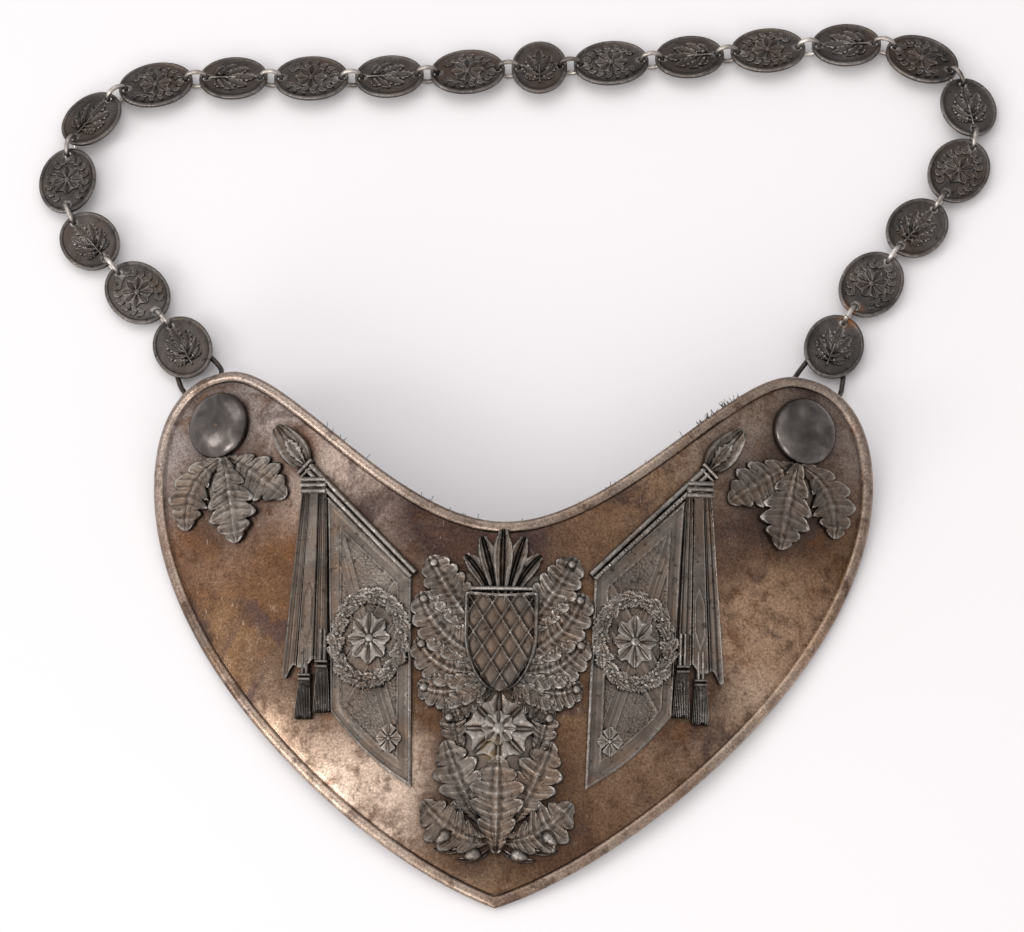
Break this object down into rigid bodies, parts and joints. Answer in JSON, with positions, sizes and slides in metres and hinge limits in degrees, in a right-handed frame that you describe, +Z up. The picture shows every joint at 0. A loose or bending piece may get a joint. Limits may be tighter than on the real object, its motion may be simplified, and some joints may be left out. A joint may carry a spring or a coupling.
{
  "type": "steel gorget",
  "caption": "Crescent chest plate with a raised rim, applied relief ornament and two domed bosses, on a chain of oval medallions joined by jump rings.",
  "frame": {"origin": "on the supporting surface, under the middle of the bounding box of plate and chain", "axes": "+Z up off the surface, +Y from the plate's pointed tip towards its neck and the chain, +X to the right seen from above"},
  "size_m": [0.3052, 0.3024, 0.0334],
  "materials": {
    "plate": "sandblasted nickel-plated steel, tarnished to a warm brown",
    "felt": "dark wool felt glued to the back",
    "relief": "cast zinc relief, dark oxidised grey with worn edges",
    "boss": "smooth darkened metal dome",
    "medallion": "dark oxidised low relief with lighter worn rims",
    "ring": "bright nickel-plated wire"
  },
  "bodies": {
    "root": {"plate": "plate", "felt_backing": "felt", "standard_right": "relief", "standard_left": "relief", "leaf_spray_right": "relief", "leaf_spray_left": "relief", "centre_trophy": "relief", "oak_wreath": "relief", "boss_left": "boss", "staple_left": "medallion", "boss_right": "boss", "staple_right": "medallion", "medallion_02": "medallion", "medallion_03": "medallion", "medallion_04": "medallion", "medallion_05": "medallion", "medallion_06": "medallion", "medallion_07": "medallion", "medallion_08": "medallion", "medallion_09": "medallion", "medallion_10": "medallion", "medallion_11": "medallion", "medallion_12": "medallion", "medallion_13": "medallion", "medallion_14": "medallion", "medallion_15": "medallion", "medallion_16": "medallion", "medallion_17": "medallion", "medallion_18": "medallion", "medallion_19": "medallion", "medallion_20": "medallion", "medallion_01": "medallion", "medallion_21": "medallion", "jump_ring_01": "ring", "jump_ring_02": "ring", "jump_ring_03": "ring", "jump_ring_04": "ring", "jump_ring_05": "ring", "jump_ring_06": "ring", "jump_ring_07": "ring", "jump_ring_08": "ring", "jump_ring_09": "ring", "jump_ring_10": "ring", "jump_ring_11": "ring", "jump_ring_12": "ring", "jump_ring_13": "ring", "jump_ring_14": "ring", "jump_ring_15": "ring", "jump_ring_16": "ring", "jump_ring_17": "ring", "jump_ring_18": "ring", "jump_ring_19": "ring", "jump_ring_20": "ring"}
  },
  "joints": []
}
